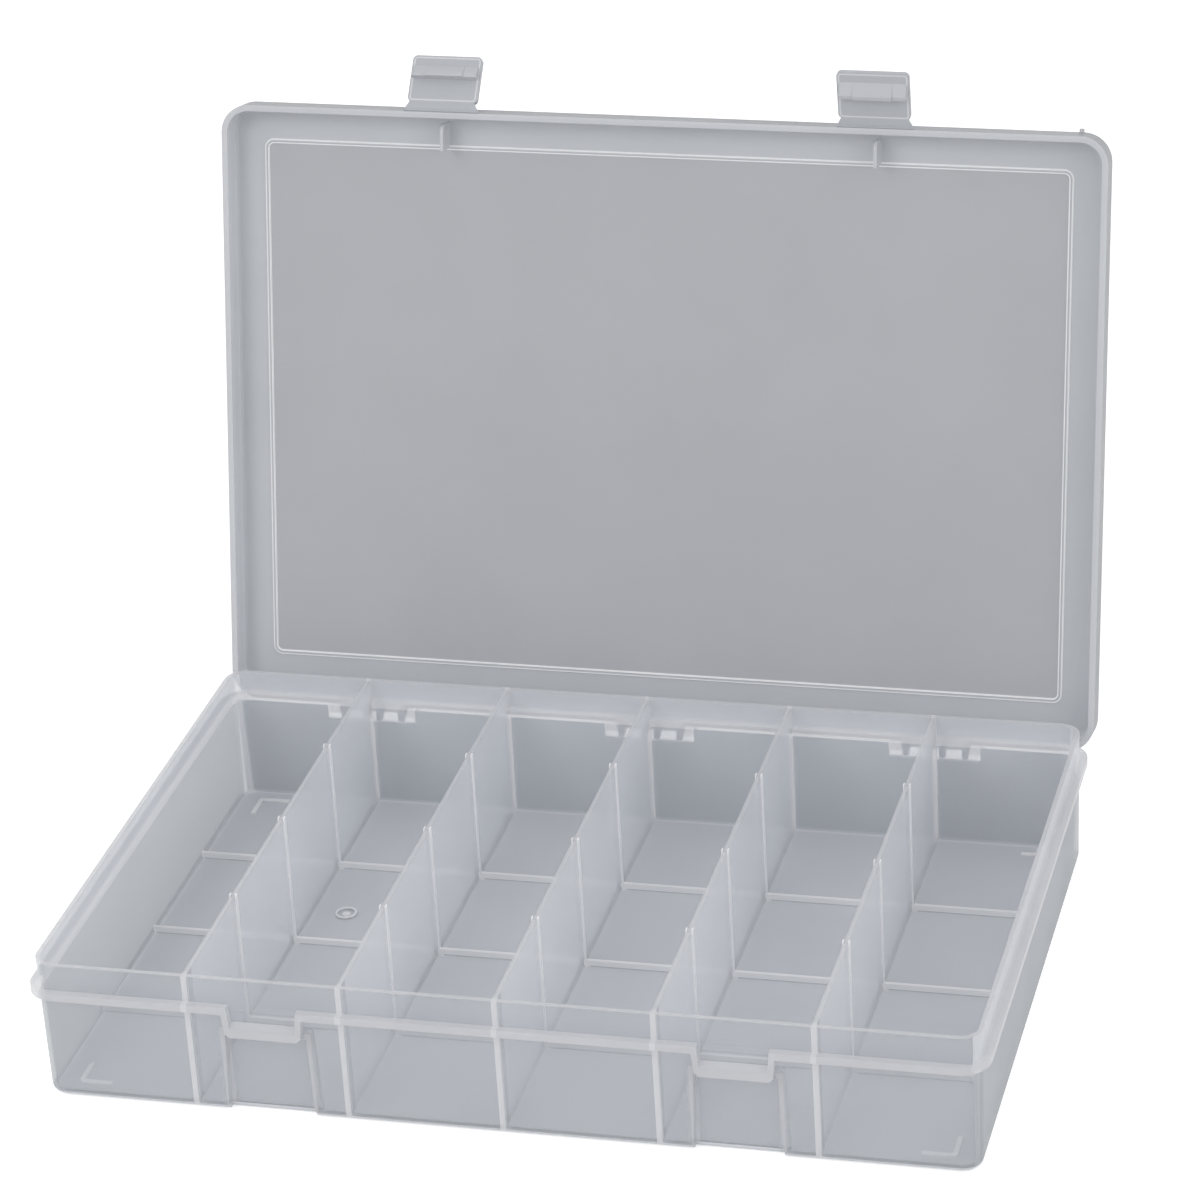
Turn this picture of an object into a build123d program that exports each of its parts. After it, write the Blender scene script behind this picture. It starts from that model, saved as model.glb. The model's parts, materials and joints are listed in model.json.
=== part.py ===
from build123d import *
import os
from math import atan, cos, degrees, radians, sin

os.makedirs("parts", exist_ok=True)

# Plastic storage box with six fixed compartments, shown with its lid open as in the photograph.
# Sizes are in millimetres. X runs along the box, Y from the front (-) to the hinges (+), Z up.
# The underside of the tray stands on Z = 0. The lid and the latches are drawn closed and
# are then turned about their hinge axes to the angles of the photograph.

# Driving sizes of the outline, shared by the lid and the flange of the tray
OUTLINE_LENGTH = 333.4
OUTLINE_DEPTH = 228.6
OUTLINE_RADIUS = 10.5

# Tray: one wall from the floor to the neck, with a flange round it
TRAY_HEIGHT = 52.8
FLANGE_TOP = 43.0
FLANGE_THICKNESS = 2.8
FLANGE_REACH = 2.8
WALL = 1.5
FLOOR = 1.6
WALL_INSET_AT_BASE = 0.8
BASE_ROUNDING = 3.0
CAVITY_ROUNDING = 1.5

# Fixed dividers with their stiffening ribs, and the low ribs across the floor
COMPARTMENTS = 6
DIVIDER_THICKNESS = 1.4
RIB_ROWS = 3
RIB_WIDTH = 1.6
RIB_PROUD = 0.6
NUB_HEIGHT = 0.6
FLOOR_RIB_HEIGHT = 2.4
FLOOR_RIB_THICKNESS = 1.4

# Two latch stations on the front: the flange steps down to a catch above a recessed pocket
STATION_AT_PITCHES = 1.5
CATCH_BOTTOM = 31.5
CATCH_FRONT_HEIGHT = 3.4
CATCH_SLOPE_HEIGHT = 1.7
CATCH_WIDTH = 26.8
CATCH_SPREAD = 1.1
CATCH_CORNER = 1.4
STEP_WIDTH = 2.2
POCKET_WIDTH_TOP = 28.6
POCKET_WIDTH_BASE = 31.4
POCKET_DEPTH = 3.6
POCKET_ROUNDING = 1.6

# Three snap hinges at the rear
HINGE_AT_PITCHES = 2.0
HINGE_SPAN = 34.3
EAR_WIDTH = 4.4
PIN_RADIUS = 1.2
EAR_RADIUS = 1.8
HINGE_OUT = -0.2
HINGE_DROP = 4.2
HOOK_WIDTH = 2.2
HOOK_WALL = 1.2
HOOK_INNER_OFFSET = 2.5
HOOK_MOUTH = 64.0
MOUTH_DIRECTION = 225.0
HEEL_DROP = 3.6

# Lid
SKIRT = 2.2
PANEL = 1.5
LID_EDGE_ROUNDING = 1.2
LID_INNER_ROUNDING = 1.2
RIDGE_INSET = 13.8
RIDGE_REAR_INSET = 15.5
RIDGE_WIDTH = 1.4
RIDGE_HEIGHT = 0.6
RIDGE_RADIUS = 3.5
FIN_THICKNESS = 1.2
FIN_HEIGHT = 9.6
FIN_ROUNDING = 3.6
NIB_FROM_END = 11.2
NIB_RADIUS = 0.9
NIB_REACH = 0.8

# Latches
LATCH_WIDTH = 26.6
LATCH_ROOT_WIDTH = 28.4
LATCH_LENGTH = 21.6
LATCH_WEB_LENGTH = 3.2
LATCH_WEB = 0.9
LATCH_PLATE = 1.4
LATCH_CORNER = 1.8
LATCH_BORDER = 1.0
LATCH_BORDER_HEIGHT = 0.5
ROOT_RADIUS = 0.45
HOOK_BAR_WIDTH = 24.6
HOOK_BAR_REACH = 3.0
HOOK_BAR_LENGTH = 5.4
HOOK_BLOCK_WIDTH = 14.4
HOOK_BLOCK_REACH = 3.6
HOOK_LAND = 1.2

# Angles of the photograph, measured from the closed position
LID_OPEN = 102.3
LATCH_LEFT_OPEN = 120.0
LATCH_RIGHT_OPEN = 72.0

# Clearances between the pieces
RIM_GAP = 0.15
NUB_GAP = 0.15
PIN_GAP = 0.08
HOOK_SIDE_GAP = 0.45
STOP_GAP = 0.15
FIN_GAP = 0.5
ROOT_GAP = 0.1
PLATE_GAP = 0.2
CATCH_GAP = 0.25

# How closely an edge is looked for at a known height
SELECT_WITHIN = 0.01

# Places that follow from the sizes
neck_length = OUTLINE_LENGTH - 2 * FLANGE_REACH
neck_depth = OUTLINE_DEPTH - 2 * FLANGE_REACH
neck_radius = OUTLINE_RADIUS - FLANGE_REACH
half_depth = OUTLINE_DEPTH / 2
neck_half = neck_depth / 2
wall_slope = WALL_INSET_AT_BASE / TRAY_HEIGHT
draft = degrees(atan(wall_slope))
pitch = (neck_length - 2 * WALL + DIVIDER_THICKNESS) / COMPARTMENTS
divider_places = [(i - COMPARTMENTS / 2) * pitch for i in range(1, COMPARTMENTS)]
rib_spacing = (neck_depth + WALL) / (RIB_ROWS + 1)
rib_places = [(i - (RIB_ROWS - 1) / 2) * rib_spacing for i in range(RIB_ROWS)]
station_places = [-STATION_AT_PITCHES * pitch, STATION_AT_PITCHES * pitch]
hinge_places = [-HINGE_AT_PITCHES * pitch, 0.0, HINGE_AT_PITCHES * pitch]

rim_z = FLANGE_TOP + RIM_GAP
panel_under = TRAY_HEIGHT + NUB_HEIGHT + NUB_GAP
lid_top = panel_under + PANEL
hinge_y = half_depth + HINGE_OUT
hinge_z = FLANGE_TOP - HINGE_DROP
pocket_face = neck_half - POCKET_DEPTH
root_y = -half_depth - ROOT_GAP - ROOT_RADIUS
hook_outer_offset = HINGE_SPAN / 2 - EAR_WIDTH - HOOK_SIDE_GAP - HOOK_WIDTH / 2
root_z = rim_z + ROOT_RADIUS
hinge_axis = Axis((0, hinge_y, hinge_z), (1, 0, 0))
latch_axis = Axis((0, root_y, root_z), (1, 0, 0))


# Half depth of the outer face of the wall at a height above the table
def wall_at(height):
    return neck_half - wall_slope * (TRAY_HEIGHT - height)


top_down = Plane(origin=(0, 0, TRAY_HEIGHT), z_dir=(0, 0, -1))
floor_half = wall_at(FLOOR) - WALL
catch_top = CATCH_BOTTOM + CATCH_FRONT_HEIGHT
catch_half = CATCH_WIDTH / 2
flange_gap = CATCH_WIDTH + 2 * (CATCH_SPREAD - STEP_WIDTH)
wall_middle = WALL / 2

with BuildPart() as tray:
    # Wall and floor, drawn from the rim of the neck down, so that the draft narrows the base
    with BuildSketch(top_down):
        RectangleRounded(neck_length, neck_depth, neck_radius)
    extrude(amount=TRAY_HEIGHT, taper=draft)
    fillet(tray.edges().group_by(Axis.Z)[0], BASE_ROUNDING)
    with BuildSketch(top_down):
        RectangleRounded(neck_length - 2 * WALL, neck_depth - 2 * WALL, neck_radius - WALL)
    extrude(amount=TRAY_HEIGHT - FLOOR, taper=draft, mode=Mode.SUBTRACT)
    cavity_foot = tray.edges().filter_by_position(
        Axis.Z, FLOOR - SELECT_WITHIN, FLOOR + SELECT_WITHIN
    )
    fillet(cavity_foot, CAVITY_ROUNDING)

    # Flange round the wall, with a window in it at every hinge and a gap at every latch
    with BuildSketch(Plane.XY.offset(FLANGE_TOP - FLANGE_THICKNESS)):
        RectangleRounded(OUTLINE_LENGTH, OUTLINE_DEPTH, OUTLINE_RADIUS)
        RectangleRounded(
            neck_length - WALL,
            neck_depth - WALL,
            neck_radius - wall_middle,
            mode=Mode.SUBTRACT,
        )
        with Locations([(x, neck_half + FLANGE_REACH) for x in hinge_places]):
            Rectangle(HINGE_SPAN - 2 * EAR_WIDTH, 2 * FLANGE_REACH, mode=Mode.SUBTRACT)
        with Locations([(x, -neck_half - FLANGE_REACH) for x in station_places]):
            Rectangle(flange_gap, 2 * FLANGE_REACH, mode=Mode.SUBTRACT)
    extrude(amount=FLANGE_THICKNESS)

    # Dividers, whose ends stay inside the wall down to its rounded foot
    divider_end = [
        (neck_half - wall_middle, TRAY_HEIGHT),
        (wall_at(BASE_ROUNDING) - wall_middle, BASE_ROUNDING),
        (wall_at(0) - BASE_ROUNDING, FLOOR / 2),
    ]
    divider_start = [(-y, z) for y, z in reversed(divider_end)]
    for x in divider_places:
        with BuildSketch(Plane.YZ.offset(x)):
            with BuildLine():
                Polyline(*divider_end, *divider_start, close=True)
            make_face()
        extrude(amount=DIVIDER_THICKNESS / 2, both=True)

    # Upright ribs on both faces of every divider, each ending in a nub above its edge
    rib_height = TRAY_HEIGHT + NUB_HEIGHT - FLOOR / 2
    with Locations([(x, y, FLOOR / 2) for x in divider_places for y in rib_places]):
        Box(
            DIVIDER_THICKNESS + 2 * RIB_PROUD,
            RIB_WIDTH,
            rib_height,
            align=(Align.CENTER, Align.CENTER, Align.MIN),
        )

    # Low ribs across the floor, in line with the upright ones
    floor_rib_length = 2 * (wall_at(FLOOR) - neck_half) + neck_length - WALL
    with Locations([(0, y, FLOOR / 2) for y in rib_places]):
        Box(
            floor_rib_length,
            FLOOR_RIB_THICKNESS,
            FLOOR_RIB_HEIGHT + FLOOR / 2,
            align=(Align.CENTER, Align.CENTER, Align.MIN),
        )

    # Latch stations: inner skin of the pocket, step walls, catch, then the pocket itself
    skin_top = CATCH_BOTTOM + WALL
    for x in station_places:
        with BuildSketch(Plane.XZ.offset(pocket_face - WALL)):
            with BuildLine():
                Polyline(
                    (x - POCKET_WIDTH_BASE / 2 - WALL, FLOOR / 2),
                    (x - POCKET_WIDTH_TOP / 2 - WALL, skin_top),
                    (x + POCKET_WIDTH_TOP / 2 + WALL, skin_top),
                    (x + POCKET_WIDTH_BASE / 2 + WALL, FLOOR / 2),
                    close=True,
                )
            make_face()
        extrude(amount=POCKET_DEPTH - WALL_INSET_AT_BASE + WALL / 4)
        with BuildSketch(Plane.YZ.offset(x)):
            with BuildLine():
                Polyline(
                    (-half_depth, CATCH_BOTTOM),
                    (-half_depth, catch_top),
                    (-neck_half, catch_top + CATCH_SLOPE_HEIGHT),
                    (-neck_half + wall_middle, catch_top + CATCH_SLOPE_HEIGHT),
                    (-neck_half + wall_middle, CATCH_BOTTOM),
                    close=True,
                )
            make_face()
        extrude(amount=catch_half - CATCH_CORNER, both=True)
        for side in (-1, 1):
            with BuildSketch(Plane.XZ.offset(neck_half - wall_middle)):
                with BuildLine():
                    Polyline(
                        (x + side * (catch_half + CATCH_SPREAD), FLANGE_TOP),
                        (x + side * (catch_half + CATCH_SPREAD - STEP_WIDTH), FLANGE_TOP),
                        (x + side * (catch_half - STEP_WIDTH), CATCH_BOTTOM),
                        (x + side * (catch_half - CATCH_CORNER), CATCH_BOTTOM),
                        (x + side * catch_half, CATCH_BOTTOM + CATCH_CORNER),
                        close=True,
                    )
                make_face()
            extrude(amount=FLANGE_REACH + wall_middle)
        with BuildSketch(Plane.XZ.offset(pocket_face)):
            with BuildLine():
                Polyline(
                    (x - POCKET_WIDTH_BASE / 2, -FLOOR),
                    (x - POCKET_WIDTH_TOP / 2, CATCH_BOTTOM),
                    (x + POCKET_WIDTH_TOP / 2, CATCH_BOTTOM),
                    (x + POCKET_WIDTH_BASE / 2, -FLOOR),
                    close=True,
                )
            make_face()
        extrude(amount=POCKET_DEPTH + FLANGE_REACH + WALL, mode=Mode.SUBTRACT)
        with BuildSketch(Plane.YZ.offset(x)):
            with BuildLine():
                Polyline(
                    (-pocket_face + POCKET_ROUNDING, 0),
                    (-pocket_face + POCKET_ROUNDING, -FLOOR),
                    (-pocket_face, -FLOOR),
                    (-pocket_face, POCKET_ROUNDING),
                )
                RadiusArc(
                    (-pocket_face, POCKET_ROUNDING),
                    (-pocket_face + POCKET_ROUNDING, 0),
                    -POCKET_ROUNDING,
                )
            make_face()
        extrude(amount=POCKET_WIDTH_BASE / 2, both=True, mode=Mode.SUBTRACT)

    # Hinge ears under the flange, and the pin that runs between each pair
    ear_offset = (HINGE_SPAN - EAR_WIDTH) / 2
    ear_places = [x + side * ear_offset for x in hinge_places for side in (-1, 1)]
    for x in ear_places:
        with BuildSketch(Plane.YZ.offset(x)):
            with Locations((hinge_y, hinge_z)):
                Circle(EAR_RADIUS)
            with Locations((hinge_y, FLANGE_TOP)):
                Rectangle(
                    HINGE_OUT + FLANGE_REACH + wall_middle,
                    HINGE_DROP + EAR_RADIUS,
                    align=(Align.MAX, Align.MAX),
                )
        extrude(amount=EAR_WIDTH / 2, both=True)
    for x in hinge_places:
        with Locations(Location((x, hinge_y, hinge_z), (0, 90, 0))):
            Cylinder(PIN_RADIUS, HINGE_SPAN - EAR_WIDTH)

# One hinge hook in the closed position: a split ring round the pin, joined to the skirt
# above it, with a heel that meets the wall of the tray when the lid is fully open.
hook_inner = PIN_RADIUS + PIN_GAP
hook_outer = hook_inner + HOOK_WALL
heel_reach = hinge_y - wall_at(hinge_z) - STOP_GAP
mouth_reach = 2 * hook_outer
heel_turn = Location((hinge_y, hinge_z), LID_OPEN)
hook_places = [
    x + side * offset
    for x in hinge_places
    for side in (-1, 1)
    for offset in (HOOK_INNER_OFFSET, hook_outer_offset)
]
mouth_edges = [
    MOUTH_DIRECTION - HOOK_MOUTH / 2,
    MOUTH_DIRECTION + HOOK_MOUTH / 2,
]
mouth_points = [
    (hinge_y + mouth_reach * cos(radians(a)), hinge_z + mouth_reach * sin(radians(a)))
    for a in mouth_edges
]

with BuildPart() as lid:
    # Panel and skirt, drawn closed on the tray
    with BuildSketch(Plane.XY.offset(rim_z)):
        RectangleRounded(OUTLINE_LENGTH, OUTLINE_DEPTH, OUTLINE_RADIUS)
    extrude(amount=lid_top - rim_z)
    fillet(lid.edges().group_by(Axis.Z)[-1], LID_EDGE_ROUNDING)
    with BuildSketch(Plane.XY.offset(rim_z)):
        RectangleRounded(
            OUTLINE_LENGTH - 2 * SKIRT, OUTLINE_DEPTH - 2 * SKIRT, OUTLINE_RADIUS - SKIRT
        )
    extrude(amount=panel_under - rim_z, mode=Mode.SUBTRACT)
    inner_corner = lid.edges().filter_by_position(
        Axis.Z, panel_under - SELECT_WITHIN, panel_under + SELECT_WITHIN
    )
    fillet(inner_corner, LID_INNER_ROUNDING)

    # Low ridge round the underside of the panel
    ridge_front = -half_depth + RIDGE_INSET
    ridge_rear = half_depth - RIDGE_REAR_INSET
    ridge_length = OUTLINE_LENGTH - 2 * RIDGE_INSET
    ridge_depth = ridge_rear - ridge_front
    with BuildSketch(Plane.XY.offset(panel_under - RIDGE_HEIGHT)):
        with Locations((0, (ridge_front + ridge_rear) / 2)):
            RectangleRounded(ridge_length, ridge_depth, RIDGE_RADIUS)
            RectangleRounded(
                ridge_length - 2 * RIDGE_WIDTH,
                ridge_depth - 2 * RIDGE_WIDTH,
                RIDGE_RADIUS - RIDGE_WIDTH,
                mode=Mode.SUBTRACT,
            )
    extrude(amount=RIDGE_HEIGHT + PANEL / 2)

    # Fin behind each latch, which drops in just behind the front wall of the tray
    fin_front = -neck_half + WALL + FIN_GAP
    fin_rear = ridge_front + RIDGE_WIDTH / 2
    fin_foot = panel_under - FIN_HEIGHT
    for x in station_places:
        with BuildSketch(Plane.YZ.offset(x)):
            with BuildLine():
                Line((fin_front, panel_under + PANEL / 2), (fin_rear, panel_under + PANEL / 2))
                Line((fin_rear, panel_under + PANEL / 2), (fin_rear, fin_foot))
                Line((fin_rear, fin_foot), (fin_front + FIN_ROUNDING, fin_foot))
                RadiusArc(
                    (fin_front + FIN_ROUNDING, fin_foot),
                    (fin_front, fin_foot + FIN_ROUNDING),
                    FIN_ROUNDING,
                )
                Line((fin_front, fin_foot + FIN_ROUNDING), (fin_front, panel_under + PANEL / 2))
            make_face()
        extrude(amount=FIN_THICKNESS / 2, both=True)

    # Small nib on the front face near its right end
    nib_z = lid_top - LID_EDGE_ROUNDING - NIB_RADIUS
    with Locations(
        Location((OUTLINE_LENGTH / 2 - NIB_FROM_END, -half_depth - NIB_REACH / 2, nib_z), (90, 0, 0))
    ):
        Cylinder(NIB_RADIUS, NIB_REACH + SKIRT / 2)

    # Hinge hooks
    for x in hook_places:
        with BuildSketch(Plane.YZ.offset(x)):
            with Locations((hinge_y, hinge_z)):
                Circle(hook_outer)
            with Locations((half_depth, hinge_z)):
                Rectangle(SKIRT, rim_z - hinge_z + SKIRT / 2, align=(Align.MAX, Align.MIN))
            with Locations(heel_turn):
                with Locations((-heel_reach, 0)):
                    Rectangle(heel_reach, HEEL_DROP, align=(Align.MIN, Align.MAX))
            with BuildLine():
                Polyline((hinge_y, hinge_z), *mouth_points, close=True)
            make_face(mode=Mode.SUBTRACT)
            with Locations((hinge_y, hinge_z)):
                Circle(hook_inner, mode=Mode.SUBTRACT)
        extrude(amount=HOOK_WIDTH / 2, both=True)

# The latch in the closed position, centred on X = 0: a thin web, a plate and a hook
plate_inner = -half_depth - PLATE_GAP
plate_outer = plate_inner - LATCH_PLATE
web_foot = root_z - LATCH_WEB_LENGTH
plate_foot = root_z - LATCH_LENGTH
hook_face = CATCH_BOTTOM - CATCH_GAP


def latch_shape():
    with BuildPart() as shape:
        # Plate with rounded corners, and the web that widens to its root
        with BuildSketch(Plane.XZ.offset(-plate_inner)):
            with Locations((0, (web_foot + plate_foot) / 2)):
                RectangleRounded(LATCH_WIDTH, web_foot - plate_foot, LATCH_CORNER)
        extrude(amount=LATCH_PLATE)
        with BuildSketch(Plane.XZ.offset(-plate_inner)):
            with BuildLine():
                Polyline(
                    (-LATCH_ROOT_WIDTH / 2, root_z),
                    (LATCH_ROOT_WIDTH / 2, root_z),
                    (LATCH_WIDTH / 2 - LATCH_CORNER, web_foot - LATCH_CORNER),
                    (-LATCH_WIDTH / 2 + LATCH_CORNER, web_foot - LATCH_CORNER),
                    close=True,
                )
            make_face()
        extrude(amount=LATCH_WEB)
        with Locations(Location((0, root_y, root_z), (0, 90, 0))):
            Cylinder(ROOT_RADIUS, LATCH_ROOT_WIDTH)
        # Raised border on the outer face
        with BuildSketch(Plane.XZ.offset(-plate_outer)):
            with Locations((0, (web_foot + plate_foot) / 2)):
                RectangleRounded(LATCH_WIDTH, web_foot - plate_foot, LATCH_CORNER)
                RectangleRounded(
                    LATCH_WIDTH - 2 * LATCH_BORDER,
                    web_foot - plate_foot - 2 * LATCH_BORDER,
                    LATCH_CORNER - LATCH_BORDER,
                    mode=Mode.SUBTRACT,
                )
        extrude(amount=LATCH_BORDER_HEIGHT)
        # Hook: a wide wedge with a deeper block in its middle
        for width, reach in (
            (HOOK_BAR_WIDTH, HOOK_BAR_REACH),
            (HOOK_BLOCK_WIDTH, HOOK_BLOCK_REACH),
        ):
            with BuildSketch(Plane.YZ):
                with BuildLine():
                    Polyline(
                        (plate_inner - LATCH_PLATE / 2, hook_face),
                        (plate_inner + reach, hook_face),
                        (plate_inner + reach, hook_face - HOOK_LAND),
                        (plate_inner, hook_face - HOOK_BAR_LENGTH),
                        (plate_inner - LATCH_PLATE / 2, hook_face - HOOK_BAR_LENGTH),
                        close=True,
                    )
                make_face()
            extrude(amount=width / 2, both=True)
    return shape.part


# Turn the lid open, and each latch with it and about its own root
with BuildPart() as lid_open:
    add(lid.part.rotate(hinge_axis, -LID_OPEN))

with BuildPart() as latch_left:
    turned = latch_shape().rotate(latch_axis, -LATCH_LEFT_OPEN)
    add(turned.translate((station_places[0], 0, 0)).rotate(hinge_axis, -LID_OPEN))

with BuildPart() as latch_right:
    turned = latch_shape().rotate(latch_axis, -LATCH_RIGHT_OPEN)
    add(turned.translate((station_places[1], 0, 0)).rotate(hinge_axis, -LID_OPEN))

tray.part.label = "tray"
lid_open.part.label = "lid"
latch_left.part.label = "latch_left"
latch_right.part.label = "latch_right"

export_step(tray.part, "parts/tray.step")
export_step(lid_open.part, "parts/lid.step")
export_step(latch_left.part, "parts/latch_left.step")
export_step(latch_right.part, "parts/latch_right.step")

print("hinge axis", round(hinge_y, 3), round(hinge_z, 3))
print("latch root closed", round(root_y, 3), round(root_z, 3), "pitch", round(pitch, 3))
for part in (tray.part, lid_open.part, latch_left.part, latch_right.part):
    print(part.label, len(part.solids()), part.is_valid, round(part.volume), part.bounding_box())
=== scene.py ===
"""The frosted plastic storage box: finishes, moulded details, studio and camera."""
import functools
import json
import math

import bpy
from mathutils import Matrix, Vector


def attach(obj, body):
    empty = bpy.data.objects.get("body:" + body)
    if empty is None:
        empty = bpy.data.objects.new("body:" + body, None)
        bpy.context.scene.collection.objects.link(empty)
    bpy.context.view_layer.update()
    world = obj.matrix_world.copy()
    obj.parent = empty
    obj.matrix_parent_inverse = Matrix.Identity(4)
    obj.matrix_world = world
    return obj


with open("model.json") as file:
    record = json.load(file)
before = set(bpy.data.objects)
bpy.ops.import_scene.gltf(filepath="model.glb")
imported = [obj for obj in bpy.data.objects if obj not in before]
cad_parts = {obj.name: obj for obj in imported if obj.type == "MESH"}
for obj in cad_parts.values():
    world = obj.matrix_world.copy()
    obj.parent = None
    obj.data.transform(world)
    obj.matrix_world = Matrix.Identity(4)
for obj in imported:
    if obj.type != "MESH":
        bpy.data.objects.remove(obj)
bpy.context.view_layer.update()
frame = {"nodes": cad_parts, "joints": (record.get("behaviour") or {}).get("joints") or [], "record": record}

bl_info = {
    "name": "Compartment storage box",
    "version": (1, 0, 0),
    "blender": (4, 5, 0),
    "location": "View3D > Sidebar > Storage box",
    "description": "Finishes, small moulded details and studio for the compartment box",
    "category": "Object",
}

MM = 0.001

# Limits of the finish's masks: how far one goes on past the last face that it takes in, and
# a place, in metres, that lies before the whole box
REACH = 20 * MM
BEFORE_ALL = -1.0

# Two places in a mesh are the same within this, and edges flatter than this are smooth
TOUCHING = 0.01 * MM
SMOOTH_UNDER = math.radians(40)

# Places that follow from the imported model: the hinges with their angles at rest, the boxes of
# the pieces, and the compartments and latch pockets with the walls between them
joints = {joint["name"]: joint for joint in frame["joints"]}
lid_hinge = Vector(joints["lid_hinge"]["pos_m"])
lid_open = math.radians(joints["lid_hinge"]["range_deg"][1])
hollows = {hollow["name"]: hollow["box_m"] for hollow in frame["record"]["physics"]["openings"]}


def middle(box, axis):
    """Middle of a box along an axis, 0 to 2."""
    return (box[0][axis] + box[1][axis]) / 2


divider_pitch = middle(hollows["compartment_4"], 0) - middle(hollows["compartment_3"], 0)
station_x = middle(hollows["latch_pocket_right"], 0)


def linear(hex_colour):
    """A colour written as sRGB hex, as the linear values that the shaders take."""
    channels = [int(hex_colour[i : i + 2], 16) / 255 for i in (1, 3, 5)]
    return [c / 12.92 if c <= 0.04045 else ((c + 0.055) / 1.055) ** 2.4 for c in channels]


def add_node(tree, kind, inputs=None, **settings):
    """Adds a node. Inputs are plain values, or sockets to link from."""
    node = tree.nodes.new(kind)
    for name, value in settings.items():
        setattr(node, name, value)
    for socket, value in (inputs or {}).items():
        if isinstance(value, bpy.types.NodeSocket):
            tree.links.new(value, node.inputs[socket])
        else:
            node.inputs[socket].default_value = value
    return node


def select_only(obj=None):
    """Deselects everything, then selects and activates one object."""
    for other in bpy.context.selected_objects:
        other.select_set(False)
    if obj is not None:
        obj.select_set(True)
        bpy.context.view_layer.objects.active = obj


def factor(name, description, default):
    """A property between 0 and 1."""
    return bpy.props.FloatProperty(
        name=name, description=description, subtype="FACTOR", min=0, max=1, default=default
    )


def colour(name, description, hex_colour):
    """A colour property from its sRGB hex value."""
    return bpy.props.FloatVectorProperty(
        name=name,
        description=description,
        subtype="COLOR",
        size=4,
        default=(*linear(hex_colour), 1),
    )


def length(name, description, millimetres):
    """A length property from its value in millimetres."""
    return bpy.props.FloatProperty(
        name=name, description=description, unit="LENGTH", default=millimetres * MM
    )


def angle(name, description, degrees):
    """An angle property from its value in degrees."""
    return bpy.props.FloatProperty(
        name=name, description=description, subtype="ANGLE", default=math.radians(degrees)
    )


def point(name, description, metres):
    """A property for a point, from its place in metres."""
    return bpy.props.FloatVectorProperty(
        name=name, description=description, subtype="TRANSLATION", unit="LENGTH", default=metres
    )


class PlasticSizes(bpy.types.PropertyGroup):
    """Colours and surface of the moulded plastic, with lighter and darker copies of it that are painted
    light and shade.
    """

    thin_colour: colour("Thin", "Colour of the plastic in its plain walls", "#CACED4")
    # Painted light: the dividers are lighter than the walls, for the light that shines through them
    divider_lit_colour: colour("Divider", "Colour of the dividers", "#F4F6FA")
    # Painted shade: the front wall is darker than the other walls, to take back the lamps' strong light on
    # it
    front_shaded_colour: colour("Front wall", "Colour of the front wall", "#C2C6CC")
    # Painted shade: the outer faces of the end walls are darker, as shade on the box's sides
    end_shaded_colour: colour("End walls", "Colour of the outer faces of the end walls", "#B0B4BA")
    neck_colour: colour("Neck", "Colour of rear and end walls above the flange", "#E6E9EE")
    thick_colour: colour("Thick", "Colour where the plastic is thick", "#D8D8DC")
    # Painted light: the floor is lighter than the walls, to make up for the shade inside the box
    floor_lit_colour: colour("Floor", "Colour of the floor of the tray", "#E0E3E8")
    # Painted shade: the rear wall below the flange is darker than the other walls
    rear_shaded_colour: colour("Rear wall", "Colour of the rear wall below the flange", "#CBCFD5")
    # Painted shade: the lid's panel is a darker copy of the plastic
    panel_shaded_colour: colour("Panel", "Colour of the panel of the lid", "#B4B6BB")
    # Painted light: the lid outside its ridge is lighter, to make up for the shadow of the skirt
    margin_lit_colour: colour("Margin", "Colour of the lid outside its ridge", "#C4C7CC")
    # Painted light: the lid's skirt is lighter on its inside
    skirt_lit_colour: colour("Skirt", "Colour of the lid's skirt on its inside", "#E4E7EC")
    # Painted shade: the lid's outer surfaces are darker
    outside_shaded_colour: colour("Lid outside", "Colour of the lid's outer surfaces", "#9DA0A5")
    lid_rim_colour: colour("Lid rim", "Colour of the lid's rim and fins", "#D2D4D9")
    # Partly painted highlight: white for ribs, marks and the ridge's lines; at flange roots and junctions it
    # is thick plastic
    white_and_highlight_colour: colour("Ribs", "Colour of ribs, marks and the ridge's lines", "#FDFDFF")
    latch_colour: colour("Latch", "Colour of the plates of the latches", "#B8BBC1")
    divider_opacity: factor("Divider opacity", "What one face of a divider hides", 0.48)
    front_opacity: factor("Front opacity", "What one face of the front wall hides", 0.28)
    neck_opacity: factor("Neck opacity", "What one face of the rear wall's neck hides", 0.38)
    hinge_opacity: factor("Hinge opacity", "What the wall before the hinges hides", 0.45)
    wall_opacity: factor("Wall opacity", "What one face of the other walls hides", 0.56)
    skirt_opacity: factor("Skirt opacity", "What one face of the lid's skirt hides", 0.75)
    thick_opacity: factor("Thick opacity", "What one face of a thick place hides", 0.62)
    rib_opacity: factor("Rib opacity", "What one face of a rib hides", 0.92)
    panel_opacity: factor("Panel opacity", "What one face of floor and lid panel hides", 0.82)
    pocket_white: factor("Pocket edges", "How much whiter the edges of the pockets are", 0.75)
    # Partly painted light: also lifts the flange's top that the open lid shades
    root_white: factor("Flange root", "How much whiter the rear wall is at the flange", 0.8)
    end_root_white: factor("End roots", "Share of that on the end walls", 0.4)
    junction_white: factor("Junctions", "How much whiter a divider's end is", 0.4)
    hook_white: factor("Hooks", "How much whiter the hooks of the latches are", 0.3)
    roughness: factor("Roughness", "Satin of the moulded surface", 0.38)
    smoother: factor("Smoother", "How much smoother the dark clouds are", 0.05)
    rougher: factor("Rougher", "How much rougher the pale clouds are", 0.06)
    shade: factor("Shade", "How much lighter or darker the clouds are", 0.02)
    clouds: length("Clouds", "Size of the clouds, where the plastic cooled unevenly", 40)
    grain: length("Grain", "Size of the fine satin grain", 0.9)
    grain_deep: length("Grain depth", "Depth of the satin grain", 0.03)


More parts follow.
